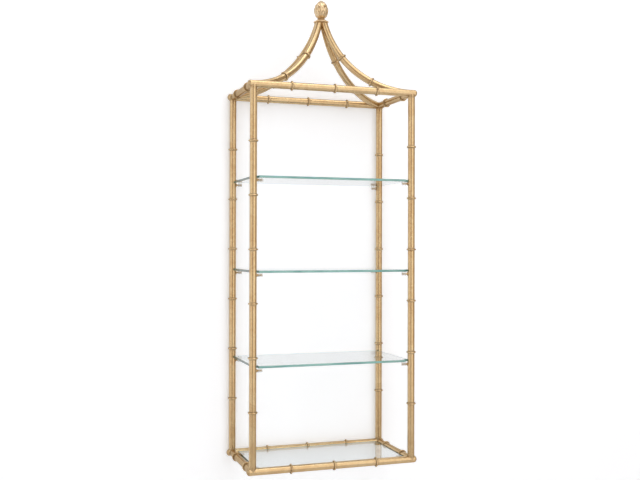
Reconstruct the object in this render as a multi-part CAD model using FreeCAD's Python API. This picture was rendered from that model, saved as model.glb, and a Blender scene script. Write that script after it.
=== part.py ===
import FreeCAD, Part
import math
import os
from FreeCAD import Placement, Rotation, Vector

# Wall shelf with a pagoda roof: a gilded frame of ringed tube that carries four panes of glass.
# Sizes are in millimetres and angles in degrees. The origin lies on the back of the rear posts, midway
# between the two keyholes that hang the shelf. +X is to the right, +Y into the wall and +Z up.

# Frame, between tube axes
FRAME_WIDTH = 440.0
FRAME_DEPTH = 228.0
FRAME_HEIGHT = 988.0

# Tube, and the domed caps that close the long rails
TUBE_DIAMETER = 19.0
TUBE_WALL = 1.5
COPE_CLEARANCE = 0.05
RAIL_OVERHANG = 9.5
DOME_HEIGHT = 6.5
SPIGOT_LENGTH = 8.0
SPIGOT_CLEARANCE = 0.1

# Bamboo rings around the tubes
RING_HEIGHT = 3.6
RING_WIDTH = 3.6
RING_CROWN = 1.6
RING_CLEARANCE = 0.05
POST_RING_COUNT = 6
POST_RING_LIFT = 2.5
RING_PEG_GAP = 4.0
LONG_RAIL_RING_COUNT = 3
SIDE_RAIL_RING_SPACING = 114.0
RIB_FIRST_RING = 115.0
RIB_RING_SPACING = 106.5

# Roof, above the top rail axis
ROOF_HEIGHT = 200.0
RIB_FOOT_ANGLE = 4.8
RIB_TOP_OFFSET = 8.0

# Flared cap, stud and bud of the finial
FLARE_RADIUS = 21.0
FLARE_LIP = 2.0
FLARE_HEIGHT = 12.0
FLARE_WAIST = 12.5
NECK_RADIUS = 7.5
STUD_DIAMETER = 8.0
STUD_LENGTH = 32.0
STUD_CLEARANCE = 0.1
BUD_RADIUS = 18.6
BUD_BELLY = 19.0
BUD_HEIGHT = 48.5
BUD_TAPER = 2.5
BUD_TIP_RADIUS = 1.2
LEAF_COUNT = 8
LEAF_ROWS = 4
LEAF_LENGTH = 18.0
LEAF_RISE = 9.0
LEAF_FIRST_BASE = 0.6
LEAF_THICKNESS = 1.3
LEAF_FLARE = 1.8
LEAF_ROOT = 1.0
LEAF_POINT = 0.8
LEAF_GAP_START = 6.0
LEAF_GAP_WAIST = 0.3

# Glass
GLASS_THICKNESS = 6.0
GLASS_ARRIS = 0.8
SHELF_SIDE_INSET = 2.5
SHELF_FRONT_INSET = 0.5
SHELF_POST_GAP = 6.0
SHELF_NAMES = ("lower", "middle", "top")
LOWEST_SHELF = 262.0
SHELF_SPACING = 243.4
PANE_GAP = 4.5
PANE_TOP = 5.0
REST_GAP = 0.3

# Shelf pegs and their soft caps
PEG_DIAMETER = 5.0
PEG_CLEARANCE = 0.05
PEG_REACH = 15.5
PEG_ROOT = 6.0
PEG_ANGLE = 12.0
FLANGE_DIAMETER = 9.0
FLANGE_THICKNESS = 1.5
SOFT_CAP_LENGTH = 11.0
SOFT_CAP_WALL = 2.8
SOFT_CAP_END = 1.5

# Rest tabs and pads under the bottom pane
TAB_WIDTH = 16.0
TAB_REACH = 16.0
TAB_THICKNESS = 3.0
TAB_SPACING = 160.0
PAD_DIAMETER = 9.0
PAD_THICKNESS = 1.5

# Keyholes in the back of the rear posts
KEYHOLE_DROP = 45.0
KEYHOLE_DIAMETER = 10.0
KEYHOLE_SLOT = 5.0
KEYHOLE_RISE = 12.0

# Places that follow from these sizes
tube_radius = TUBE_DIAMETER / 2
bore_radius = tube_radius - TUBE_WALL
cope_radius = tube_radius + COPE_CLEARANCE
ring_radius = tube_radius + RING_HEIGHT
half_width = FRAME_WIDTH / 2
rear_y = -tube_radius
front_y = rear_y - FRAME_DEPTH
middle_y = (front_y + rear_y) / 2
top_z = KEYHOLE_DROP
bottom_z = top_z - FRAME_HEIGHT
sides = {"left": -1, "right": 1}
depths = {"front": -1, "rear": 1}
up = Vector(0, 0, 1)


def post_x(side):
    return sides[side] * half_width


def axis_y(depth):
    return middle_y + depths[depth] * FRAME_DEPTH / 2


def rod(start, end, radius):
    along = end - start
    return Part.makeCylinder(radius, along.Length, start, along)


def turned(points):
    # Solid turned about the Z axis from an outline of radius and height
    corners = [Vector(radius, 0, height) for radius, height in points]
    outline = Part.makePolygon(corners + corners[:1])
    return Part.Face(outline).revolve(Vector(0, 0, 0), up, 360)


def placed(shape, position, along):
    copy = shape.copy()
    copy.Placement = Placement(position, Rotation(up, along))
    return copy


def export(name, *solids):
    shape = solids[0] if len(solids) == 1 else Part.makeCompound(list(solids))
    shape.exportStep(f"parts/{name}.step")


# Rings: a crowned band that seats on the tube

ring_band = turned([
    (tube_radius + RING_CLEARANCE, -RING_WIDTH / 2),
    (ring_radius, -RING_CROWN / 2),
    (ring_radius, RING_CROWN / 2),
    (tube_radius + RING_CLEARANCE, RING_WIDTH / 2),
])


def rings_between(start, end, count):
    # Rings that split the stretch into equal lengths
    along = end - start
    return [placed(ring_band, start + along * (i + 1) / (count + 1), along) for i in range(count)]


# Rails: the long ones run through, the side ones are coped against them

def long_rail_ends(depth, height):
    reach = half_width + RAIL_OVERHANG
    return Vector(-reach, axis_y(depth), height), Vector(reach, axis_y(depth), height)


def side_rail_ends(side, height):
    return Vector(post_x(side), front_y, height), Vector(post_x(side), rear_y, height)


def long_copes(height):
    return [rod(*long_rail_ends(depth, height), cope_radius) for depth in depths]


def side_copes(height):
    return [rod(*side_rail_ends(side, height), cope_radius) for side in sides]


def long_rail(depth, height):
    ends = long_rail_ends(depth, height)
    return rod(*ends, tube_radius).cut(rod(*ends, bore_radius))


def side_rail(side, height):
    ends = side_rail_ends(side, height)
    coped = rod(*ends, tube_radius).cut(long_copes(height))
    return coped.cut(rod(*ends, bore_radius))


def end_cap():
    # Domed plug with a spigot for the bore of the tube, along +Z
    spigot_radius = bore_radius - SPIGOT_CLEARANCE
    ball_radius = (tube_radius ** 2 + DOME_HEIGHT ** 2) / (2 * DOME_HEIGHT)
    ball_centre = DOME_HEIGHT - ball_radius
    half_way = math.atan2(tube_radius, -ball_centre) / 2
    dome = Part.Arc(
        Vector(tube_radius, 0, 0),
        Vector(ball_radius * math.sin(half_way), 0, ball_centre + ball_radius * math.cos(half_way)),
        Vector(0, 0, DOME_HEIGHT),
    ).toShape()
    plug = Part.makePolygon([
        Vector(0, 0, DOME_HEIGHT),
        Vector(0, 0, -SPIGOT_LENGTH),
        Vector(spigot_radius, 0, -SPIGOT_LENGTH),
        Vector(spigot_radius, 0, 0),
        Vector(tube_radius, 0, 0),
    ])
    return Part.Face(Part.Wire([dome] + plug.Edges)).revolve(Vector(0, 0, 0), up, 360)


def end_caps(height):
    caps = []
    for depth in depths:
        left, right = long_rail_ends(depth, height)
        caps += [placed(end_cap(), left, left - right), placed(end_cap(), right, right - left)]
    return caps


# Posts: coped over the rails at both ends, with holes for the pegs

def post_ends(side, depth):
    return (Vector(post_x(side), axis_y(depth), bottom_z), Vector(post_x(side), axis_y(depth), top_z))


def keyhole(side):
    # Entry hole and rising slot through the back wall of a rear post
    back = Vector(0, TUBE_DIAMETER, 0)
    entry = Vector(post_x(side), rear_y, 0)
    rest = entry + up * KEYHOLE_RISE
    slot = Part.makeBox(KEYHOLE_SLOT, TUBE_DIAMETER, KEYHOLE_RISE, entry - Vector(KEYHOLE_SLOT / 2, 0, 0))
    return [rod(entry, entry + back, KEYHOLE_DIAMETER / 2), slot, rod(rest, rest + back, KEYHOLE_SLOT / 2)]


def post(side, depth):
    ends = post_ends(side, depth)
    rails = [tool for height in (bottom_z, top_z) for tool in long_copes(height) + side_copes(height)]
    shape = rod(*ends, tube_radius).cut(rails).cut(rod(*ends, bore_radius))
    holes = [peg_hole(side, depth, level) for level in shelf_levels]
    if depth == "rear":
        holes += keyhole(side)
    return shape.cut(holes)


def clear_of_pegs(height):
    # A ring that would come too near a peg moves along the post
    room = (RING_WIDTH + FLANGE_DIAMETER) / 2 + RING_PEG_GAP
    for level in shelf_levels:
        offset = height - (level - peg_drop)
        if abs(offset) < room:
            return height - offset + math.copysign(room, offset)
    return height


def post_rings(side, depth):
    # The rings split the clear length between the rails, and all sit a little high
    spacing = (FRAME_HEIGHT - TUBE_DIAMETER) / (POST_RING_COUNT + 1)
    first = bottom_z + tube_radius + POST_RING_LIFT + spacing
    heights = [clear_of_pegs(first + spacing * i) for i in range(POST_RING_COUNT)]
    return [placed(ring_band, Vector(post_x(side), axis_y(depth), height), up) for height in heights]


# Roof ribs: one arc in each diagonal plane, coped on the corner and mitred at the apex

corner_reach = math.hypot(half_width, FRAME_DEPTH / 2)
foot_angle = math.radians(RIB_FOOT_ANGLE)
rib_run = corner_reach - RIB_TOP_OFFSET
chord_angle = math.atan2(ROOF_HEIGHT, rib_run)
rib_radius = math.hypot(rib_run, ROOF_HEIGHT) / (2 * math.sin(chord_angle - foot_angle))
top_angle = 2 * chord_angle - foot_angle


def rib_point(side, depth, angle):
    # Point of the rib axis where its slope is the given angle
    inward = rib_radius * (math.sin(angle) - math.sin(foot_angle))
    rise = rib_radius * (math.cos(foot_angle) - math.cos(angle))
    share = (corner_reach - inward) / corner_reach
    return Vector(post_x(side) * share, middle_y + (axis_y(depth) - middle_y) * share, top_z + rise)


def rib_direction(side, depth, angle):
    level = Vector(-post_x(side), middle_y - axis_y(depth), 0).normalize()
    return level * math.cos(angle) + up * math.sin(angle)


def rib_sweep(side, depth, radius):
    # The sweep runs a tube radius past the apex height, where it is then cut level
    last = top_angle + tube_radius / rib_radius
    angles = (foot_angle, (foot_angle + last) / 2, last)
    path = Part.Wire(Part.Arc(*[rib_point(side, depth, angle) for angle in angles]).toShape())
    section = Part.makeCircle(radius, rib_point(side, depth, foot_angle), rib_direction(side, depth, foot_angle))
    return path.makePipeShell([Part.Wire(section)], True, False)


def roof_quarter(side, depth):
    # The quarter of the roof space that belongs to one rib, up to the level top of the ribs
    corner = Vector(min(0, 2 * post_x(side)), middle_y + min(0, depths[depth] * FRAME_DEPTH), bottom_z)
    return Part.makeBox(FRAME_WIDTH, FRAME_DEPTH, FRAME_HEIGHT + ROOF_HEIGHT, corner)


def corner_cope(side, depth):
    # The three tubes that meet at a top corner, as one cutting shape
    ends = (side_rail_ends(side, top_z), post_ends(side, depth))
    return rod(*long_rail_ends(depth, top_z), cope_radius).fuse([rod(*pair, cope_radius) for pair in ends])


def roof_rib(side, depth):
    outer = rib_sweep(side, depth, tube_radius).common(roof_quarter(side, depth))
    return outer.cut(corner_cope(side, depth)).cut(rib_sweep(side, depth, bore_radius))


def rib_rings(side, depth):
    rings = []
    for distance in (RIB_FIRST_RING, RIB_FIRST_RING + RIB_RING_SPACING):
        angle = foot_angle + distance / rib_radius
        rings.append(placed(ring_band, rib_point(side, depth, angle), rib_direction(side, depth, angle)))
    return rings


# Finial: a flared cap on the rib tops, a stud, and a bud with rows of overlapping leaves

apex = Vector(0, middle_y, top_z + ROOF_HEIGHT)
bud_seat = apex + up * FLARE_HEIGHT
stud_hole = STUD_DIAMETER / 2 + STUD_CLEARANCE


def finial_cap():
    flare = Part.Arc(
        Vector(FLARE_RADIUS, 0, FLARE_LIP),
        Vector(FLARE_WAIST, 0, (FLARE_LIP + FLARE_HEIGHT) / 2),
        Vector(NECK_RADIUS, 0, FLARE_HEIGHT),
    ).toShape()
    rest = Part.makePolygon([
        Vector(NECK_RADIUS, 0, FLARE_HEIGHT),
        Vector(stud_hole, 0, FLARE_HEIGHT),
        Vector(stud_hole, 0, 0),
        Vector(FLARE_RADIUS, 0, 0),
        Vector(FLARE_RADIUS, 0, FLARE_LIP),
    ])
    return placed(Part.Face(Part.Wire([flare] + rest.Edges)).revolve(Vector(0, 0, 0), up, 360), apex, up)


def finial_stud():
    return rod(apex, apex + up * STUD_LENGTH, STUD_DIAMETER / 2)


def bud_outline(height):
    # Radius of the bud's core: a quarter ellipse below the belly and a taper to the tip above it
    if height < BUD_BELLY:
        drop = 1 - height / BUD_BELLY
        return NECK_RADIUS + (BUD_RADIUS - NECK_RADIUS) * math.sqrt(1 - drop ** 2)
    climb = (height - BUD_BELLY) / (BUD_HEIGHT - BUD_BELLY)
    return BUD_TIP_RADIUS + (BUD_RADIUS - BUD_TIP_RADIUS) * (1 - climb ** BUD_TAPER)


def bud_core():
    lower = Part.Arc(*[Vector(bud_outline(z), 0, z) for z in (0, BUD_BELLY / 2, BUD_BELLY)])
    half_climb = (BUD_BELLY + BUD_HEIGHT) / 2
    upper = Part.Arc(*[Vector(bud_outline(z), 0, z) for z in (BUD_BELLY, half_climb, BUD_HEIGHT)])
    rest = Part.makePolygon([
        Vector(BUD_TIP_RADIUS, 0, BUD_HEIGHT),
        Vector(0, 0, BUD_HEIGHT),
        Vector(0, 0, 0),
        Vector(NECK_RADIUS, 0, 0),
    ])
    outline = Part.Wire([lower.toShape(), upper.toShape()] + rest.Edges)
    return Part.Face(outline).revolve(Vector(0, 0, 0), up, 360)


def leaf_gap(low, tip, rim):
    # Pointed gap between two leaves, cut from the rim towards the axis
    half = rim * math.sin(math.pi / LEAF_COUNT) - LEAF_POINT / 2
    waist = (low + tip) / 2
    left = Part.Arc(Vector(0, -half, tip), Vector(0, -half * LEAF_GAP_WAIST, waist), Vector(0, 0, low))
    right = Part.Arc(Vector(0, 0, low), Vector(0, half * LEAF_GAP_WAIST, waist), Vector(0, half, tip))
    mouth = Part.LineSegment(Vector(0, half, tip), Vector(0, -half, tip))
    outline = Part.Wire([left.toShape(), right.toShape(), mouth.toShape()])
    return Part.Face(outline).extrude(Vector(2 * BUD_RADIUS, 0, 0))


def leaf_crown(row):
    # A turned cup that leans out towards its rim, parted into pointed leaves
    base = LEAF_FIRST_BASE + row * LEAF_RISE
    tip = base + LEAF_LENGTH
    middle = (base + tip) / 2
    low = (base + middle) / 2
    rim = bud_outline(tip) + LEAF_FLARE
    crown = turned([
        (0, base),
        (bud_outline(base) - LEAF_ROOT, base),
        (bud_outline(low) + LEAF_THICKNESS / 2, low),
        (bud_outline(middle) + LEAF_THICKNESS, middle),
        (rim, tip),
        (0, tip),
    ])
    gap = leaf_gap(base + LEAF_GAP_START, tip, rim)
    gaps = []
    for i in range(LEAF_COUNT):
        turn = (i + row % 2 / 2) * 360 / LEAF_COUNT
        gaps.append(gap.rotated(Vector(0, 0, 0), up, turn))
    return crown.cut(gaps)


def finial_bud():
    crowns = [leaf_crown(row) for row in range(LEAF_ROWS)]
    stud_well = rod(Vector(0, 0, 0), up * (STUD_LENGTH - FLARE_HEIGHT + STUD_CLEARANCE), stud_hole)
    return placed(bud_core().fuse(crowns).cut(stud_well), bud_seat, up)


# Glass: panes with a small arris on every edge; the shelves are notched round the posts

def slab(width, depth, underside):
    corner = Vector(-width / 2, middle_y - depth / 2, underside)
    return Part.makeBox(width, depth, GLASS_THICKNESS, corner)


def with_arris(shape):
    return shape.makeChamfer(GLASS_ARRIS, shape.Edges)


def glass_shelf(level):
    across = slab(FRAME_WIDTH - 2 * SHELF_SIDE_INSET, FRAME_DEPTH - notch_inset, level)
    through = slab(FRAME_WIDTH - notch_inset, FRAME_DEPTH - 2 * SHELF_FRONT_INSET, level)
    return with_arris(across.fuse(through).removeSplitter())


notch_inset = TUBE_DIAMETER + 2 * SHELF_POST_GAP
shelf_levels = [bottom_z + LOWEST_SHELF + i * SHELF_SPACING for i in range(len(SHELF_NAMES))]
pane_width = FRAME_WIDTH - TUBE_DIAMETER - 2 * PANE_GAP
pane_depth = FRAME_DEPTH - TUBE_DIAMETER - 2 * PANE_GAP
pane_underside = bottom_z + PANE_TOP - GLASS_THICKNESS


# Pegs: a pin with a flange on the post, angled inwards, and a soft cap that the glass rests on

soft_cap_radius = PEG_DIAMETER / 2 + SOFT_CAP_WALL
peg_drop = soft_cap_radius + REST_GAP


def peg_axis(side, depth, level):
    # Post axis at the height of the peg, and the peg's direction
    slant = math.radians(PEG_ANGLE)
    along = Vector(-sides[side] * math.cos(slant), -depths[depth] * math.sin(slant), 0)
    return Vector(post_x(side), axis_y(depth), level - peg_drop), along


def peg_rod(side, depth, level, near, far, radius):
    centre, along = peg_axis(side, depth, level)
    return rod(centre + along * near, centre + along * far, radius)


def peg_hole(side, depth, level):
    return peg_rod(side, depth, level, 0, TUBE_DIAMETER, PEG_DIAMETER / 2 + PEG_CLEARANCE)


def peg(side, depth, level):
    pin = peg_rod(side, depth, level, bore_radius - PEG_ROOT, tube_radius + PEG_REACH, PEG_DIAMETER / 2)
    flange = peg_rod(side, depth, level, 0, tube_radius + FLANGE_THICKNESS, FLANGE_DIAMETER / 2)
    return pin.fuse(flange.cut(rod(*post_ends(side, depth), cope_radius)))


def soft_cap(side, depth, level):
    end = tube_radius + PEG_REACH
    sleeve = peg_rod(side, depth, level, end - SOFT_CAP_LENGTH, end + SOFT_CAP_END, soft_cap_radius)
    return sleeve.cut(peg_rod(side, depth, level, 0, end, PEG_DIAMETER / 2 + PEG_CLEARANCE))


# Rest tabs on the bottom side rails, each with a round pad under the pane

pad_top = pane_underside - REST_GAP
tab_top = pad_top - PAD_THICKNESS


def tab_places():
    return [(side, middle_y + depths[depth] * TAB_SPACING / 2) for side in sides for depth in depths]


def rest_tab(side, y):
    reach = tube_radius + TAB_REACH
    x = min(post_x(side), post_x(side) - sides[side] * reach)
    bar = Part.makeBox(reach, TAB_WIDTH, TAB_THICKNESS, Vector(x, y - TAB_WIDTH / 2, tab_top - TAB_THICKNESS))
    return bar.cut(side_copes(bottom_z))


def rest_pad(side, y):
    inset = tube_radius + TAB_REACH - PAD_DIAMETER / 2 - PAD_THICKNESS
    return Part.makeCylinder(
        PAD_DIAMETER / 2, PAD_THICKNESS, Vector(post_x(side) - sides[side] * inset, y, tab_top)
    )


# Every piece, one file each

os.makedirs("parts", exist_ok=True)

for level_name, height in (("top", top_z), ("bottom", bottom_z)):
    for depth in depths:
        left_end, right_end = long_rail_ends(depth, height)
        dome = Vector(DOME_HEIGHT, 0, 0)
        rings = rings_between(left_end - dome, right_end + dome, LONG_RAIL_RING_COUNT)
        export(f"{level_name}_rail_{depth}", long_rail(depth, height))
        export(f"{level_name}_rail_{depth}_rings", *rings)
    for side in sides:
        export(f"{level_name}_rail_{side}", side_rail(side, height))
        offset = Vector(0, SIDE_RAIL_RING_SPACING / 2, 0)
        centre = Vector(post_x(side), middle_y, height)
        rings = [placed(ring_band, centre + offset, offset), placed(ring_band, centre - offset, offset)]
        export(f"{level_name}_rail_{side}_rings", *rings)
    export(f"{level_name}_rail_end_caps", *end_caps(height))

for depth in depths:
    for side in sides:
        export(f"post_{depth}_{side}", post(side, depth))
        export(f"post_{depth}_{side}_rings", *post_rings(side, depth))
        export(f"roof_rib_{depth}_{side}", roof_rib(side, depth))
        export(f"roof_rib_{depth}_{side}_rings", *rib_rings(side, depth))

export("finial_cap", finial_cap())
export("finial_stud", finial_stud())
export("finial_bud", finial_bud())

corners = [(side, depth) for side in sides for depth in depths]
for shelf_name, level in zip(SHELF_NAMES, shelf_levels):
    export(f"glass_shelf_{shelf_name}", glass_shelf(level))
    export(f"shelf_pegs_{shelf_name}", *[peg(*corner, level) for corner in corners])
    export(f"peg_caps_{shelf_name}", *[soft_cap(*corner, level) for corner in corners])

export("glass_bottom_pane", with_arris(slab(pane_width, pane_depth, pane_underside)))
export("pane_rest_tabs", *[rest_tab(*place) for place in tab_places()])
export("pane_rest_pads", *[rest_pad(*place) for place in tab_places()])
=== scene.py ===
import bmesh
import bpy
import math
from mathutils import Matrix, Vector


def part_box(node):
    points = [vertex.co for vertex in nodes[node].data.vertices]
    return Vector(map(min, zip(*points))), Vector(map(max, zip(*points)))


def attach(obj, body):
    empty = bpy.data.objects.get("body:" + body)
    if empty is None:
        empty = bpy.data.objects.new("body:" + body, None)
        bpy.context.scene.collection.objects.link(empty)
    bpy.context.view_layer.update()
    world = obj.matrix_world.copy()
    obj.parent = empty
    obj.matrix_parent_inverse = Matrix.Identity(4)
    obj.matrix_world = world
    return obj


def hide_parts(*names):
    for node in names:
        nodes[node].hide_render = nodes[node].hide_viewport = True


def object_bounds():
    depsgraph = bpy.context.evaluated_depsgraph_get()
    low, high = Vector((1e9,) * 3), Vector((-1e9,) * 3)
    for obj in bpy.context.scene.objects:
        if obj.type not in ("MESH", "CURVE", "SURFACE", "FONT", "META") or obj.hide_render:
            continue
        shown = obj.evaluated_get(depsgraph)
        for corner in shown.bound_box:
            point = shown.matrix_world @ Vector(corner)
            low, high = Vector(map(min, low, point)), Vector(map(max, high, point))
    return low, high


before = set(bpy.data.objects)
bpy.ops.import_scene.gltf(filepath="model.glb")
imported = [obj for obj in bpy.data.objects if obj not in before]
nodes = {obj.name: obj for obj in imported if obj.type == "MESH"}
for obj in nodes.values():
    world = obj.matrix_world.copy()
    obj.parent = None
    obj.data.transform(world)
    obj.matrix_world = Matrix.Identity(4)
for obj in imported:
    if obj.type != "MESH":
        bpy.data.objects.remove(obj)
# the size that the finished look has to keep to
cadBox = [list(corner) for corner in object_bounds()]  # box of the whole imported frame
scene = bpy.context.scene
scene.view_settings.view_transform = "Standard"
print("frame loaded,", len(nodes), "nodes")

up = Vector((0, 0, 1))
weld = 1e-6  # points nearer than this are one
sliver = 2e-5  # edges shorter than this are left over from a cut
sideSign = {"left": -1, "right": 1}
depthSign = {"front": -1, "rear": 1}


# small helpers

def nodeMiddle(name):
    low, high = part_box(name)
    return (low + high) / 2


def nodeSeat(name):
    # middle of a node's underside
    seat = nodeMiddle(name)
    seat.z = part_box(name)[0].z
    return seat


def linkMesh(name, bm, materials=()):
    mesh = bpy.data.meshes.new(name)
    bm.to_mesh(mesh)
    bm.free()
    for material in materials:
        mesh.materials.append(material)
    made = bpy.data.objects.new(name, mesh)
    scene.collection.objects.link(made)
    return made


def finishPiece(name, bm, materials, replaced, body="frame", sharp=40):
    # sharp: an edge that turns by more degrees than this stays crisp
    bmesh.ops.remove_doubles(bm, verts=bm.verts, dist=weld)
    bmesh.ops.recalc_face_normals(bm, faces=bm.faces)
    for face in bm.faces:
        face.smooth = True
    for edge in bm.edges:
        edge.smooth = edge.calc_face_angle(0) < math.radians(sharp)
    piece = linkMesh(name, bm, materials)
    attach(piece, body)
    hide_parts(*replaced)


def onlyVerts(geom):
    return [g for g in geom if isinstance(g, bmesh.types.BMVert)]


def turnTo(place, along):
    # puts a shape made about Z at a place, with its axis along a direction
    return Matrix.Translation(place) @ up.rotation_difference(along).to_matrix().to_4x4()


def spinOutline(bm, outline, steps, matrix):
    # outline of (radius, height), turned about Z into a closed skin and then put in place
    before = set(bm.verts)
    verts = [bm.verts.new((radius, 0, height)) for radius, height in outline]
    edges = [bm.edges.new(pair) for pair in zip(verts, verts[1:])]
    bmesh.ops.spin(bm, geom=verts + edges, cent=(0, 0, 0), axis=up, angle=2 * math.pi, steps=steps,
                   use_merge=True, use_duplicate=False)
    skin = [v for v in bm.verts if v not in before]
    bmesh.ops.transform(bm, matrix=matrix, verts=skin)
    return skin


def paintCreaseShade(bm, centres, radius, reach, depth=1.0):
    # painted shade: full beside a ring or a joint and 0 further along the tube, which the gilding darkens
    # with its crease colour
    layer = bm.verts.layers.float.get("crease") or bm.verts.layers.float.new("crease")
    for v in bm.verts:
        distances = (math.sqrt(max((v.co - c).length_squared - radius ** 2, 0)) for c in centres)
        nearest = min(distances, default=reach)
        v[layer] = max(v[layer], depth * max(0, 1 - nearest / reach) ** 2)


# node helpers

def setInputs(node, values):
    for name, value in values.items():
        node.inputs[name].default_value = value


def addNode(tree, kind, **values):
    node = tree.nodes.new("ShaderNode" + kind)
    for name, value in values.items():
        if name in node.inputs:
            node.inputs[name].default_value = value
        else:
            setattr(node, name, value)
    return node


def feed(tree, value, socket):
    # links another node's output to a socket, or sets a plain value on it
    if isinstance(value, bpy.types.NodeSocket):
        tree.links.new(value, socket)
    else:
        socket.default_value = value


def addMix(tree, factor, first, second):
    node = addNode(tree, "Mix", data_type="RGBA")
    for value, place in zip((factor, first, second), (0, 6, 7)):  # 6 and 7 are its two colours
        feed(tree, value, node.inputs[place])
    return node.outputs[2]


def addMath(tree, operation, first, second):
    node = addNode(tree, "Math", operation=operation)
    for value, socket in zip((first, second), node.inputs):
        feed(tree, value, socket)
    return node.outputs[0]


def addRange(tree, value, given, wanted=(0.0, 1.0)):
    # smooth step from one range of values to another
    node = addNode(tree, "MapRange", interpolation_type="SMOOTHSTEP")
    tree.links.new(value, node.inputs["Value"])
    setInputs(node, dict(zip(("From Min", "From Max", "To Min", "To Max"), given + wanted)))
    return node.outputs["Result"]


def addNoise(tree, coords, scale, detail=3.0, roughness=0.55):
    node = addNode(tree, "TexNoise", Scale=scale, Detail=detail, Roughness=roughness)
    tree.links.new(coords, node.inputs["Vector"])
    return node.outputs["Fac"]


def objectCoords(tree):
    return addNode(tree, "TexCoord").outputs["Object"]


def mixClear(tree, shader, share, colour=(1, 1, 1, 1)):
    # light goes straight through, tinted by colour, where share is 1
    clear = addNode(tree, "BsdfTransparent", Color=colour)
    mix = addNode(tree, "MixShader")
    for source, socket in zip((share, shader.outputs[0], clear.outputs[0]), mix.inputs):
        tree.links.new(source, socket)
    tree.links.new(mix.outputs[0], tree.nodes["Material Output"].inputs["Surface"])


gridLook = {"across": 220, "down": 300}


def layOut(tree):
    # nodes in columns, each to the left of what it feeds, for the node editor
    column = dict.fromkeys(tree.nodes.keys(), 0)
    for turn in range(len(column)):
        for link in tree.links:
            source, target = link.from_node.name, link.to_node.name
            column[source] = max(column[source], column[target] + 1)
    filled = dict.fromkeys(column.values(), 0)
    for name, place in column.items():
        tree.nodes[name].location = (-gridLook["across"] * place, -gridLook["down"] * filled[place])
        filled[place] += 1


def newMaterial(name):
    material = bpy.data.materials.new(name)
    material.use_nodes = True
    tree = material.node_tree
    return material, tree, tree.nodes["Principled BSDF"]


# gold leaf, shared by every gilded piece

leafSockets = {
    "INPUT": {"Gold": "NodeSocketColor", "Pale Gold": "NodeSocketColor", "Bole": "NodeSocketColor",
              "Patina And Painted Light": "NodeSocketColor", "Crease": "NodeSocketFloat", "Wear": "NodeSocketFloat"},
    "OUTPUT": {"Color": "NodeSocketColor", "Roughness": "NodeSocketFloat", "Height": "NodeSocketFloat"},
}
leafLook = {
    "sheetScale": 17.0, "sheetScatter": 0.85,  # one cell for each sheet of leaf
    "cloud": {"scale": 26.0},  # broad drift of tone
    "mottle": {"scale": 130.0, "roughness": 0.5},  # burnished and dull patches
    "grain": {"scale": 1100.0, "roughness": 0.6},  # brushed-in texture
    "cloudTone": 0.46, "mottleTone": 0.42, "sheetTone": 0.12, "paleTone": (0.34, 0.66),
    "wornMottle": (0.58, 0.78),  # from whole leaf to bare bole
    "lapWidth": 0.03, "lapWear": 1.6,  # bole that shows where two sheets meet
    "raggedMottle": (0.3, 0.6), "raggedCrease": (0.55, 1.0),  # breaks up the painted shade in the creases
    "dullMottle": (0.35, 0.65), "roughness": (0.21, 0.27), "creaseRoughness": 0.25, "grainHeight": 0.35,
}


def makeLeafGroup():
    tree = bpy.data.node_groups.new("goldLeaf", "ShaderNodeTree")
    for inOut, sockets in leafSockets.items():
        for name, kind in sockets.items():
            tree.interface.new_socket(name, in_out=inOut, socket_type=kind)
    given = tree.nodes.new("NodeGroupInput").outputs
    result = tree.nodes.new("NodeGroupOutput").inputs
    coords = objectCoords(tree)
    sheets, laps = (addNode(tree, "TexVoronoi", feature=feature, Scale=leafLook["sheetScale"],
                            Randomness=leafLook["sheetScatter"])
                    for feature in ("F1", "DISTANCE_TO_EDGE"))
    for cells in (sheets, laps):
        tree.links.new(coords, cells.inputs["Vector"])
    cloud, mottle, grain = (addNoise(tree, coords, **leafLook[key])
                            for key in ("cloud", "mottle", "grain"))
    tone = addMath(tree, "ADD", addMath(tree, "MULTIPLY", cloud, leafLook["cloudTone"]),
                   addMath(tree, "MULTIPLY", mottle, leafLook["mottleTone"]))
    sheetTone = addMath(tree, "MULTIPLY", sheets.outputs["Color"], leafLook["sheetTone"])
    pale = addRange(tree, addMath(tree, "ADD", tone, sheetTone), leafLook["paleTone"])
    leaf = addMix(tree, pale, given["Gold"], given["Pale Gold"])
    worn = addMath(tree, "MULTIPLY", addRange(tree, mottle, leafLook["wornMottle"]), given["Wear"])
    seam = addRange(tree, laps.outputs["Distance"], (0.0, leafLook["lapWidth"]),
                    (leafLook["lapWear"], 0.0))
    lap = addMath(tree, "MULTIPLY", given["Wear"], seam)
    rubbed = addMix(tree, addMath(tree, "MAXIMUM", worn, lap), leaf, given["Bole"])
    broken = addRange(tree, mottle, leafLook["raggedMottle"], leafLook["raggedCrease"])
    ragged = addMath(tree, "MULTIPLY", given["Crease"], broken)
    # the crease colour is painted shade, some of it old patina; on the finial cap it is a pale painted
    # light
    tree.links.new(addMix(tree, ragged, rubbed, given["Patina And Painted Light"]), result["Color"])
    dull = addRange(tree, mottle, leafLook["dullMottle"], leafLook["roughness"])
    creased = addMath(tree, "MULTIPLY", ragged, leafLook["creaseRoughness"])
    tree.links.new(addMath(tree, "ADD", dull, creased), result["Roughness"])
    brushed = addMath(tree, "MULTIPLY", grain, leafLook["grainHeight"])
    tree.links.new(addMath(tree, "ADD", brushed, mottle), result["Height"])
    layOut(tree)
    return tree


leafGroup = makeLeafGroup()

goldRim = (0.52, 0.46, 0.4, 1)  # leaf over gesso loses its shine towards the rim
ringRim = (0.03, 0.02, 0.015, 1)  # more so on the narrow rings
giltLook = {"specular": 0.4, "coatRoughness": 0.16, "reliefDepth": 0.0004}
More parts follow.
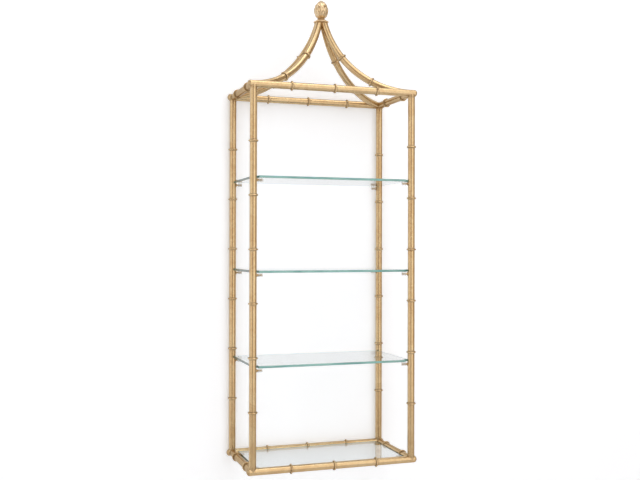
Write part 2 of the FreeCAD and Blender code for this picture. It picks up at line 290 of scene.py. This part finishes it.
# relief: strength of the bump; lacquer: weight of the thin coat that seals the leaf
gildedTubeLook = {
    "leaf": {"Gold": (0.595, 0.42, 0.226, 1), "Pale Gold": (0.676, 0.522, 0.313, 1),
             "Bole": (0.44, 0.25, 0.12, 1), "Patina And Painted Light": (0.14, 0.085, 0.045, 1), "Wear": 0.14},
    "relief": 0.025, "rim": goldRim, "lacquer": 0.15, "metal": 0.95,
}
# paler than the tube gold: a painted highlight on the ring crests
gildedRingLook = {
    "leaf": {"Gold": (0.67, 0.485, 0.27, 1), "Pale Gold": (0.78, 0.61, 0.38, 1),
             "Bole": (0.32, 0.17, 0.08, 1), "Patina And Painted Light": (0.1, 0.052, 0.018, 1), "Wear": 0.35},
    "relief": 0.08, "rim": ringRim, "lacquer": 0.0, "metal": 0.95,
}
gildedCastingLook = {
    "leaf": {"Gold": (0.67, 0.5, 0.305, 1), "Pale Gold": (0.79, 0.64, 0.43, 1),
             "Bole": (0.5, 0.31, 0.17, 1), "Patina And Painted Light": (0.12, 0.075, 0.04, 1), "Wear": 0.2},
    "relief": 0.2, "rim": goldRim, "lacquer": 0.15, "metal": 0.95,
}
# paler than the cast gold, with a pale crease colour: painted light on the cap, which the bud shades
paintedLightCapLook = {
    "leaf": {"Gold": (0.74, 0.56, 0.35, 1), "Pale Gold": (0.86, 0.69, 0.46, 1),
             "Bole": (0.6, 0.42, 0.25, 1), "Patina And Painted Light": (0.92, 0.74, 0.5, 1), "Wear": 0.15},
    "relief": 0.2, "rim": goldRim, "lacquer": 0.1, "metal": 0.85,
}
agedPinLook = {
    "leaf": {"Gold": (0.42, 0.29, 0.15, 1), "Pale Gold": (0.56, 0.4, 0.22, 1),
             "Bole": (0.26, 0.14, 0.07, 1), "Patina And Painted Light": (0.08, 0.05, 0.035, 1), "Wear": 0.4},
    "relief": 0.25, "rim": goldRim, "lacquer": 0.15, "metal": 0.95,
}


def gilded(name, look):
    material, tree, shader = newMaterial(name)
    leaf = addNode(tree, "Group", node_tree=leafGroup)
    setInputs(leaf, look["leaf"])
    # crease: the mask of painted shade and some patina, and of painted light on the finial cap
    crease = addNode(tree, "Attribute", attribute_name="crease")
    tree.links.new(crease.outputs["Fac"], leaf.inputs["Crease"])
    tree.links.new(leaf.outputs["Color"], shader.inputs["Base Color"])
    tree.links.new(leaf.outputs["Roughness"], shader.inputs["Roughness"])
    bump = addNode(tree, "Bump", Strength=look["relief"], Distance=giltLook["reliefDepth"])
    tree.links.new(leaf.outputs["Height"], bump.inputs["Height"])
    tree.links.new(bump.outputs["Normal"], shader.inputs["Normal"])
    setInputs(shader, {"Metallic": look["metal"], "Specular IOR Level": giltLook["specular"],
                       "Specular Tint": look["rim"], "Coat Weight": look["lacquer"],
                       "Coat Roughness": giltLook["coatRoughness"]})
    layOut(tree)
    return material


tubeGold = gilded("tubeGold", gildedTubeLook)
ringGold = gilded("ringGold", gildedRingLook)
castGold = gilded("castGold", gildedCastingLook)
capGold = gilded("capGold", paintedLightCapLook)
pinGold = gilded("pinGold", agedPinLook)


# glass, soft caps and the bare stud

glassLook = {
    "tint": (0.735, 0.765, 0.765, 1), "film": (0.755, 0.785, 0.785, 1),  # clean, and under a wiped film; both darker than clear glass, painted shade from the shaded wall seen through it
    "hazeScale": 9.0, "filmHaze": (0.35, 0.65), "roughHaze": (0.4, 0.7), "roughness": (0.012, 0.035),
    "shadow": (0.97, 0.985, 0.985, 1), "ior": 1.5,
}
edgeLook = {
    "longEdge": ((0.32, 0.61, 0.595, 1), (0.17, 0.425, 0.415, 1)),
    "shadedEndEdge": ((0.13, 0.21, 0.21, 1), (0.05, 0.1, 0.1, 1)),  # a darker copy of the edge colour on the end faces: painted shade for the darker look down the length of the pane
    "stretch": (1.0, 1.0, 6.0), "streakScale": 22.0, "streakDetail": 4.0, "deepStreak": (0.4, 0.66),
    "roughStreak": (0.35, 0.65), "roughness": (0.06, 0.16), "clear": 0.35,
}
softLook = {
    "dull": (0.78, 0.80, 0.78, 1), "pale": (0.9, 0.91, 0.89, 1), "cloudScale": 260.0,
    "roughCloud": (0.35, 0.65), "roughness": (0.18, 0.32), "alpha": 0.22, "ior": 1.42,
}
steelLook = {
    "dark": (0.42, 0.42, 0.43, 1), "pale": (0.6, 0.6, 0.6, 1), "markScale": 250.0, "markWander": 1.5,
    "roughMark": (0.2, 0.8), "roughness": (0.3, 0.42),
}


def seeThroughShadow(tree, shader):
    # light passes the glass, a little dimmed, so that it throws no solid shadow
    path = addNode(tree, "LightPath").outputs
    mixClear(tree, shader, addMath(tree, "MAXIMUM", path["Is Shadow Ray"], path["Is Diffuse Ray"]),
             glassLook["shadow"])


def makeGlass():
    material, tree, shader = newMaterial("shelfGlass")
    haze = addNoise(tree, objectCoords(tree), glassLook["hazeScale"])
    filmed = addRange(tree, haze, glassLook["filmHaze"])
    tree.links.new(addMix(tree, filmed, glassLook["tint"], glassLook["film"]),
                   shader.inputs["Base Color"])
    wiped = addRange(tree, haze, glassLook["roughHaze"], glassLook["roughness"])
    tree.links.new(wiped, shader.inputs["Roughness"])
    setInputs(shader, {"Transmission Weight": 1.0, "IOR": glassLook["ior"]})
    seeThroughShadow(tree, shader)
    layOut(tree)
    return material


def makeGlassEdge(name):
    pale, deep = edgeLook[name]
    material, tree, shader = newMaterial(name)
    stretched = addNode(tree, "Mapping", Scale=edgeLook["stretch"])
    tree.links.new(objectCoords(tree), stretched.inputs["Vector"])
    streak = addNoise(tree, stretched.outputs["Vector"], edgeLook["streakScale"],
                      edgeLook["streakDetail"])
    colour = addMix(tree, addRange(tree, streak, edgeLook["deepStreak"]), pale, deep)
    tree.links.new(colour, shader.inputs["Base Color"])
    ground = addRange(tree, streak, edgeLook["roughStreak"], edgeLook["roughness"])
    tree.links.new(ground, shader.inputs["Roughness"])
    setInputs(shader, {"Transmission Weight": edgeLook["clear"], "IOR": glassLook["ior"]})
    seeThroughShadow(tree, shader)
    layOut(tree)
    return material


def makeSoftClear():
    material, tree, shader = newMaterial("softClear")
    cloud = addNoise(tree, objectCoords(tree), softLook["cloudScale"])
    tree.links.new(addMix(tree, cloud, softLook["dull"], softLook["pale"]), shader.inputs["Base Color"])
    tree.links.new(addRange(tree, cloud, softLook["roughCloud"], softLook["roughness"]),
                   shader.inputs["Roughness"])
    setInputs(shader, {"Alpha": softLook["alpha"], "IOR": softLook["ior"]})
    layOut(tree)
    return material


def makeStudSteel():
    material, tree, shader = newMaterial("studSteel")
    turned = addNode(tree, "TexWave", bands_direction="Z", Scale=steelLook["markScale"],
                     Distortion=steelLook["markWander"])
    tree.links.new(objectCoords(tree), turned.inputs["Vector"])
    mark = turned.outputs["Fac"]
    tree.links.new(addMix(tree, mark, steelLook["dark"], steelLook["pale"]),
                   shader.inputs["Base Color"])
    tree.links.new(addRange(tree, mark, steelLook["roughMark"], steelLook["roughness"]),
                   shader.inputs["Roughness"])
    setInputs(shader, {"Metallic": 1.0})
    layOut(tree)
    return material


clearGlass = makeGlass()
longEdge = makeGlassEdge("longEdge")
shadedEndEdge = makeGlassEdge("shadedEndEdge")
softClear = makeSoftClear()
studSteel = makeStudSteel()
print("materials made")


# tubes: new round skins on the axes of the CAD tubes

tubeLook = {"sides": 44, "step": 0.03, "creaseReach": 0.007, "creaseStops": (0.002, 0.004, 0.007),
            "jointShade": 0.45, "ringGap": 0.03}


def ringPlaces(name, axis):
    # middle of each ring of a group, along the tube
    spots = sorted({round(v.co[axis], 5) for v in nodes[name].data.vertices})
    groups = [[spots[0]]]
    for spot in spots[1:]:
        if spot - groups[-1][-1] > tubeLook["ringGap"]:
            groups.append([])
        groups[-1].append(spot)
    return [(group[0] + group[-1]) / 2 for group in groups]


def jointPlaces(axis):
    # where a post or a side rail meets the rail that it is welded to
    if axis == 2:
        return [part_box("bottom_rail_front")[1].z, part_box("top_rail_front")[0].z]
    if axis == 1:
        return [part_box("top_rail_front")[1].y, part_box("top_rail_rear")[0].y]
    return []


keyholeLook = {"entryRadius": 0.005, "slotRadius": 0.0025, "rise": 0.012, "wall": 0.0015, "steps": 24}


def keyholed(bm, x, radius):
    # cuts the hanging keyhole into the back of a rear post, as deep as the bore
    wide, narrow = keyholeLook["entryRadius"], keyholeLook["slotRadius"]
    steps = keyholeLook["steps"]
    frontOfBore = keyholeLook["wall"] - 2 * radius
    gap = math.asin(narrow / wide)
    arcs = ((wide, 0, gap, 2 * math.pi - gap),
            (narrow, keyholeLook["rise"], -math.pi / 2, math.pi / 2))
    cutter = bmesh.new()
    corners = []
    for size, lift, first, last in arcs:
        for i in range(steps + 1):
            turn = first + (last - first) * i / steps
            spot = (x + size * math.sin(turn), frontOfBore, lift + size * math.cos(turn))
            corners.append(cutter.verts.new(spot))
    face = cutter.faces.new(corners)
    made = bmesh.ops.extrude_face_region(cutter, geom=[face])["geom"]
    bmesh.ops.translate(cutter, vec=(0, 2 * radius, 0), verts=onlyVerts(made))
    bmesh.ops.recalc_face_normals(cutter, faces=cutter.faces)
    blank = linkMesh("postBlank", bm)
    keyhole = linkMesh("keyhole", cutter)
    cut = blank.modifiers.new("keyhole", "BOOLEAN")
    cut.operation = "DIFFERENCE"
    cut.solver = "EXACT"
    cut.object = keyhole
    bpy.context.view_layer.update()
    depsgraph = bpy.context.evaluated_depsgraph_get()
    cutPost = bpy.data.meshes.new_from_object(blank.evaluated_get(depsgraph))
    bm = bmesh.new()
    bm.from_mesh(cutPost)
    bmesh.ops.dissolve_degenerate(bm, dist=sliver, edges=bm.edges)
    for mesh in (blank.data, keyhole.data, cutPost):
        bpy.data.meshes.remove(mesh)  # takes its object with it
    return bm


def straightTube(name):
    low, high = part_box(name)
    size = high - low
    axis = max(range(3), key=lambda i: size[i])
    radius = min(size) / 2
    rings = ringPlaces(name + "_rings", axis)
    dark = rings + jointPlaces(axis)
    count = round(size[axis] / tubeLook["step"])
    stops = {low[axis], high[axis]}
    stops.update(low[axis] + size[axis] * i / count for i in range(count))
    stops.update(spot + sign * gap for spot in dark for gap in tubeLook["creaseStops"]
                 for sign in (-1, 1))
    stops = sorted(stops)
    along = Vector([float(i == axis) for i in range(3)])
    start = (low + high) / 2
    start[axis] = stops[0]
    bm = bmesh.new()
    bmesh.ops.create_circle(bm, cap_ends=True, segments=tubeLook["sides"], radius=radius,
                            matrix=turnTo(start, along))
    rim = list(bm.edges)
    for before, after in zip(stops, stops[1:]):
        made = bmesh.ops.extrude_edge_only(bm, edges=rim)["geom"]
        bmesh.ops.translate(bm, vec=along * (after - before), verts=onlyVerts(made))
        rim = [g for g in made if isinstance(g, bmesh.types.BMEdge) and g.is_boundary]
    bmesh.ops.edgeloop_fill(bm, edges=rim)
    centres = []
    for spot in dark:
        centre = start.copy()
        centre[axis] = spot
        centres.append(centre)
    # painted shade beside the rings, and weaker painted shade where the tube is welded to a rail
    paintCreaseShade(bm, centres[:len(rings)], radius, tubeLook["creaseReach"])
    paintCreaseShade(bm, centres[len(rings):], radius, tubeLook["creaseReach"], tubeLook["jointShade"])
    if name.startswith("post_rear"):
        bm = keyholed(bm, start.x, radius)
    finishPiece(name + "Tube", bm, [tubeGold], [name])
    return centres[:len(rings)], along, radius


# rings: a rounded bead on the tube, sunk a little into it

ringLook = {"height": 0.0035, "halfWidth": 0.0023, "steps": 44, "sink": 0.0006, "arc": 12,
            "fullness": 0.6, "flankStart": 0.68, "flankDepth": 0.75}


def ringOutline(radius):
    outline = []
    for i in range(ringLook["arc"] + 1):
        turn = math.pi * i / ringLook["arc"]
        bulge = (ringLook["height"] + ringLook["sink"]) * math.sin(turn) ** ringLook["fullness"]
        outline.append((radius - ringLook["sink"] + bulge, -ringLook["halfWidth"] * math.cos(turn)))
    return outline + outline[:1]


def beadRings(name, places, radius):
    # places: (centre, direction) of each ring
    bm = bmesh.new()
    layer = bm.verts.layers.float.new("crease")
    start = ringLook["flankStart"]
    for centre, along in places:
        skin = spinOutline(bm, ringOutline(radius), ringLook["steps"], turnTo(centre, along))
        for v in skin:  # the flanks are darkened, partly old patina and partly painted shade where the ring meets the tube; the crest keeps the paler ring gold, a painted highlight
            flank = abs((v.co - centre).dot(along)) / ringLook["halfWidth"]
            v[layer] = ringLook["flankDepth"] * max(0, (flank - start) / (1 - start))
    finishPiece(name + "Beads", bm, [ringGold], [name], sharp=60)


straightNodes = [f"post_{depth}_{side}" for depth in depthSign for side in sideSign]
for level in ("top", "bottom"):
    straightNodes += [f"{level}_rail_{place}" for place in (*depthSign, *sideSign)]
for name in straightNodes:
    centres, along, radius = straightTube(name)
    beadRings(name + "_rings", [(centre, along) for centre in centres], radius)
print("posts and rails made")


# roof ribs: a circle spun about the centre of the rib's arc

ribLook = {"rise": 0.200, "footAngle": math.radians(4.8), "topOffset": 0.008, "firstRing": 0.115,
           "ringSpacing": 0.1065, "steps": 80, "sides": 44}

tubeRadius = min(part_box("top_rail_front")[1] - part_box("top_rail_front")[0]) / 2
railHeight = nodeMiddle("top_rail_front").z
middleY = nodeMiddle("top_rail_left").y
apex = Vector((0, middleY, railHeight + ribLook["rise"]))


def closeEnds(bm):
    # a flat face over each open end
    bmesh.ops.holes_fill(bm, edges=[e for e in bm.edges if e.is_boundary])


def roofRib(side, depth):
    name = f"roof_rib_{depth}_{side}"
    corner = nodeMiddle(f"post_{depth}_{side}")
    corner.z = railHeight
    inward = Vector((-corner.x, middleY - corner.y, 0))
    run = inward.length - ribLook["topOffset"]
    inward.normalize()
    chord = math.atan2(ribLook["rise"], run)
    foot = ribLook["footAngle"]
    arcRadius = math.hypot(run, ribLook["rise"]) / (2 * math.sin(chord - foot))
    centre = corner + arcRadius * (up * math.cos(foot) - inward * math.sin(foot))
    past = tubeRadius / arcRadius
    sweep = 2 * (chord - foot) + past

    def pointAt(angle):
        return centre + arcRadius * (inward * math.sin(angle) - up * math.cos(angle))

    def slopeAt(angle):
        return inward * math.cos(angle) + up * math.sin(angle)

    bm = bmesh.new()
    bmesh.ops.create_circle(bm, cap_ends=True, segments=ribLook["sides"], radius=tubeRadius,
                            matrix=turnTo(corner, slopeAt(foot)))
    bmesh.ops.spin(bm, geom=list(bm.verts) + list(bm.edges), cent=centre, axis=up.cross(inward),
                   angle=-sweep, steps=ribLook["steps"], use_merge=False, use_duplicate=False)
    closeEnds(bm)
    for normal in (Vector((-sideSign[side], 0, 0)), Vector((0, -depthSign[depth], 0)), up):
        bmesh.ops.bisect_plane(bm, geom=list(bm.verts) + list(bm.edges) + list(bm.faces), dist=sliver,
                               plane_co=apex, plane_no=normal, clear_outer=True)
        closeEnds(bm)
    rings = [foot + distance / arcRadius for distance in
             (ribLook["firstRing"], ribLook["firstRing"] + ribLook["ringSpacing"])]
    # painted shade beside the rib's rings
    paintCreaseShade(bm, [pointAt(angle) for angle in rings], tubeRadius, tubeLook["creaseReach"])
    finishPiece(name + "Tube", bm, [tubeGold], [name])
    beadRings(name + "_rings", [(pointAt(angle), slopeAt(angle)) for angle in rings], tubeRadius)


for depth in depthSign:
    for side in sideSign:
        roofRib(side, depth)
print("roof ribs made")


# domed end caps of the long rails

domeLook = {"steps": 44, "rows": 8, "seam": 0.0003, "dullness": 0.3}


def endCaps(level):
    name = f"{level}_rail_end_caps"
    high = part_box(name)[1]
    bm = bmesh.new()
    layer = bm.verts.layers.float.new("crease")
    for depth in depthSign:
        railLow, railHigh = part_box(f"{level}_rail_{depth}")
        middle = (railLow + railHigh) / 2
        rise = high.x - railHigh.x
        ball = (tubeRadius ** 2 + rise ** 2) / (2 * rise)
        spread = math.asin(tubeRadius / ball)
        outline = [(0.0, 0.0), (tubeRadius - domeLook["seam"], 0.0)]
        for i in range(domeLook["rows"]):
            turn = spread * (1 - i / domeLook["rows"])
            outline.append((ball * math.sin(turn), rise - ball + ball * math.cos(turn)))
        outline.append((0.0, rise))
        for sign in sideSign.values():
            seat = Vector((railHigh.x if sign > 0 else railLow.x, middle.y, middle.z))
            spinOutline(bm, outline, domeLook["steps"], turnTo(seat, Vector((sign, 0, 0))))
    for v in bm.verts:
        v[layer] = domeLook["dullness"]  # the whole dome is kept darker and rougher, by a fixed share of the crease colour
    finishPiece(name + "Domes", bm, [tubeGold], [name])


endCaps("top")
endCaps("bottom")
print("end caps made")


# finial: a flared cap on the rib tops, and a bud with rows of overlapping leaves

capLook = {"neck": 0.0075, "lip": 0.002, "sweep": 1.43, "round": 0.0006, "rows": 10, "steps": 64,
           "paintedLightShare": 0.6}


def flaredCap():
    low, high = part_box("finial_cap")
    wide = (high.x - low.x) / 2
    tall = high.z - low.z
    outline = [(0.0, 0.0), (wide - capLook["round"], 0.0), (wide, capLook["round"])]
    for i in range(capLook["rows"] + 1):
        share = i / capLook["rows"]
        radius = capLook["neck"] + (wide - capLook["neck"]) * (1 - share) ** capLook["sweep"]
        outline.append((radius, capLook["lip"] + (tall - capLook["lip"]) * share))
    outline.append((0.0, tall))
    bm = bmesh.new()
    layer = bm.verts.layers.float.new("crease")
    for v in spinOutline(bm, outline, capLook["steps"], Matrix.Translation(nodeSeat("finial_cap"))):
        v[layer] = capLook["paintedLightShare"]  # rougher and paler here: painted light against the shade that the bud throws on the cap
    finishPiece("finialCapFlare", bm, [capGold], ["finial_cap"], sharp=50)


budLook = {"radius": 0.0186, "belly": 0.019, "neck": 0.0075, "tip": 0.0012, "taper": 2.5, "steps": 48,
           "layers": 16, "gapShade": 0.2}
budLeafLook = {
    "rows": 4, "count": 8, "firstBase": 0.0006, "rise": 0.009, "length": 0.018, "wide": 1.06,
    "thickness": 0.0006, "cellsAcross": 8, "cellsAlong": 12,
    "pointStart": 0.4, "pointShape": 1.7, "pointWidth": 0.03,
    "root": -0.0008, "swell": 0.0013, "swellEnd": 0.35, "curl": 0.0011, "curlShape": 3,
    "midrib": 0.0005, "midribWidth": 0.25, "cup": 0.0006,
    "rootShade": 0.2, "rootShadeEnd": 0.45, "rimShade": 0.1, "rimShape": 5,
}


def leafedBud():
    low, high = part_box("finial_bud")
    tall = high.z - low.z
    seat = nodeSeat("finial_bud")
    look = budLeafLook

    def coreRadius(height):
        if height < budLook["belly"]:
            drop = 1 - height / budLook["belly"]
            return budLook["neck"] + (budLook["radius"] - budLook["neck"]) * math.sqrt(1 - drop ** 2)
        climb = min(1, (height - budLook["belly"]) / (tall - budLook["belly"]))
        return budLook["tip"] + (budLook["radius"] - budLook["tip"]) * (1 - climb ** budLook["taper"])

    bm = bmesh.new()
    layer = bm.verts.layers.float.new("crease")
    heights = [tall * i / budLook["layers"] for i in range(budLook["layers"] + 1)]
    core = [(0.0, 0.0)] + [(coreRadius(height), height) for height in heights] + [(0.0, tall)]
    for v in spinOutline(bm, core, budLook["steps"], Matrix.Translation(seat)):
        v[layer] = budLook["gapShade"]  # painted shade on the core, between the leaves
    for row in range(look["rows"]):
        base = look["firstBase"] + row * look["rise"]
        rootShade = look["rootShade"] if row else 0.0  # the lowest row has no leaves below it
        for i in range(look["count"]):
            turn = (i + row % 2 / 2) * 2 * math.pi / look["count"]
            blade = bmesh.ops.create_grid(bm, x_segments=look["cellsAcross"],
                                          y_segments=look["cellsAlong"], size=1)["verts"]
            faces = list(dict.fromkeys(face for v in blade for face in v.link_faces))
            for v in blade:
                across = v.co.x
                share = (v.co.y + 1) / 2
                height = base + look["length"] * share
                pointed = max(0, share - look["pointStart"]) / (1 - look["pointStart"])
                narrow = max(look["pointWidth"], 1 - pointed ** look["pointShape"])
                angle = turn + across * look["wide"] * narrow * math.pi / look["count"]
                lift = look["root"] + look["swell"] * min(1, share / look["swellEnd"])
                lift += look["curl"] * share ** look["curlShape"]
                midrib = look["midrib"] * max(0, 1 - abs(across) / look["midribWidth"])
                lift += midrib - look["cup"] * across ** 2
                out = coreRadius(height) + lift
                v.co = seat + Vector((out * math.cos(angle), out * math.sin(angle), height))
                # painted shade at the root of each leaf, next to the tips of the row below, and along its
                # rims between the leaves
                rootDark = rootShade * max(0, 1 - share / look["rootShadeEnd"])
                v[layer] = rootDark + look["rimShade"] * abs(across) ** look["rimShape"]
            bmesh.ops.solidify(bm, geom=faces, thickness=look["thickness"])
    finishPiece("finialBudLeaves", bm, [castGold], ["finial_bud"], sharp=50)


flaredCap()
leafedBud()
print("finial made")


# carried-over CAD pieces: a merged, smooth-shaded copy with its own finish

def smoothCopy(name, material):
    bm = bmesh.new()
    bm.from_mesh(nodes[name].data)
    finishPiece(name + "Finish", bm, [material], [name], sharp=30)


smoothCopy("pane_rest_tabs", tubeGold)
smoothCopy("finial_stud", studSteel)
for level in ("lower", "middle", "top"):
    smoothCopy(f"shelf_pegs_{level}", pinGold)
    smoothCopy(f"peg_caps_{level}", softClear)
smoothCopy("pane_rest_pads", softClear)
print("pegs, soft caps, rest tabs and stud finished")


# glass panes: clear faces and green edges

paneLook = {"flatLimit": 0.01, "faceUp": 0.9, "endOn": 0.5}


def glassPane(name, body):
    bm = bmesh.new()
    bm.from_mesh(nodes[name].data)
    bmesh.ops.remove_doubles(bm, verts=bm.verts, dist=weld)
    bmesh.ops.dissolve_limit(bm, angle_limit=paneLook["flatLimit"], verts=bm.verts, edges=bm.edges)
    for face in bm.faces:
        if abs(face.normal.z) > paneLook["faceUp"]:
            face.material_index = 0
        else:
            face.material_index = 2 if abs(face.normal.x) > paneLook["endOn"] else 1
    finishPiece(name + "Pane", bm, [clearGlass, longEdge, shadedEndEdge], [name], body,
                sharp=20)


for level in ("lower", "middle", "top"):
    glassPane(f"glass_shelf_{level}", f"{level}_shelf")
glassPane("glass_bottom_pane", "bottom_pane")
print("glass made")


# wall and floor, seen from the room side only

stageLook = {
    "wallGap": 0.0005, "floorDrop": 0.9, "reach": 6.0,
    "wall": (0.833, 0.893, 0.993, 1), "wallLift": 0.31,
    "floor": (0.84, 0.835, 0.83, 1), "floorLift": 0.12,
    "rollerScale": 180.0, "rollerDark": 0.985, "roughness": 0.9, "specular": 0.1,
}


def oneSided(name, colour, lift):
    # lift: white that only the camera, metal and glass see, so that it doesn't light the object
    material, tree, shader = newMaterial(name)
    roller = addNoise(tree, objectCoords(tree), stageLook["rollerScale"])
    darker = [c * stageLook["rollerDark"] for c in colour[:3]] + [1]
    tree.links.new(addMix(tree, roller, colour, darker), shader.inputs["Base Color"])
    path = addNode(tree, "LightPath").outputs
    seen = path["Is Camera Ray"]
    for ray in ("Is Glossy Ray", "Is Transmission Ray"):
        seen = addMath(tree, "MAXIMUM", seen, path[ray])
    tree.links.new(addMath(tree, "MULTIPLY", seen, lift), shader.inputs["Emission Strength"])
    setInputs(shader, {"Roughness": stageLook["roughness"], "Specular IOR Level": stageLook["specular"],
                       "Emission Color": (1, 1, 1, 1)})
    mixClear(tree, shader, addNode(tree, "NewGeometry").outputs["Backfacing"])
    layOut(tree)
    return material


def stageSheet(name, material, matrix):
    bm = bmesh.new()
    bmesh.ops.create_grid(bm, x_segments=1, y_segments=1, size=stageLook["reach"], matrix=matrix)
    sheet = linkMesh(name, bm, [material])


wallY = cadBox[1][1] + stageLook["wallGap"]
floorZ = cadBox[0][2] - stageLook["floorDrop"]
reach = stageLook["reach"]
stageSheet("wall", oneSided("wallPaint", stageLook["wall"], stageLook["wallLift"]),
           Matrix.Translation((0, wallY, floorZ + reach)) @ Matrix.Rotation(math.pi / 2, 4, "X"))
stageSheet("floor", oneSided("floorPaint", stageLook["floor"], stageLook["floorLift"]),
           Matrix.Translation((0, wallY - reach, floorZ)))


# soft studio light

shelfAim = (0, -0.12, -0.35)  # about the middle of the shelf
lampLook = {
    "rightBox": {"place": (0.95, -2.95, 0.1), "aim": shelfAim, "size": (3.25, 3.1), "watts": 29.5},
    "leftBox": {"place": (-2.7, -1.5, 0.0), "aim": shelfAim, "size": (2.4, 2.9), "watts": 17.5},
    "overhead": {"place": (0.3, -1.75, 2.35), "aim": (0, -0.12, -0.1), "size": (2.8, 2.4), "watts": 23.0},
    "topStrip": {"place": (0.15, -0.75, 2.0), "aim": (0, -0.12, 0), "size": (1.8, 0.6), "watts": 7.5},
    "back": {"place": (0.6, 2.6, 0.6), "aim": shelfAim, "size": (2.4, 2.8), "watts": 24.0},
}
for name, look in lampLook.items():
    data = bpy.data.lights.new(name, "AREA")
    data.shape = "RECTANGLE"
    data.size, data.size_y = look["size"]
    data.energy = look["watts"]
    lamp = bpy.data.objects.new(name, data)
    lamp.location = look["place"]
    beam = Vector(look["aim"]) - Vector(look["place"])
    lamp.rotation_euler = beam.to_track_quat("-Z", "Y").to_euler()
    lamp.visible_camera = False
    scene.collection.objects.link(lamp)

worldLook = {"Color": (0.97, 0.8, 0.62, 1), "Strength": 0.46}
world = bpy.data.worlds.new("studio")
world.use_nodes = True
scene.world = world
setInputs(world.node_tree.nodes["Background"], worldLook)


# camera, fitted to the photograph

cameraLook = {"place": (-0.7831, -2.4288, -0.3653), "yaw": -0.3268, "pitch": 0.0054, "roll": -0.0024,
              "lens": 49.902, "sensor": 36.0}
cameraData = bpy.data.cameras.new("camera")
cameraData.sensor_width = cameraLook["sensor"]
cameraData.lens = cameraLook["lens"]
camera = bpy.data.objects.new("camera", cameraData)
turn = (Matrix.Rotation(cameraLook["yaw"], 4, "Z") @ Matrix.Rotation(cameraLook["pitch"], 4, "X")
        @ Matrix.Rotation(cameraLook["roll"], 4, "Y") @ Matrix.Rotation(math.pi / 2, 4, "X"))
camera.matrix_world = Matrix.Translation(cameraLook["place"]) @ turn
scene.collection.objects.link(camera)
scene.camera = camera
print("stage, lamps and camera set")
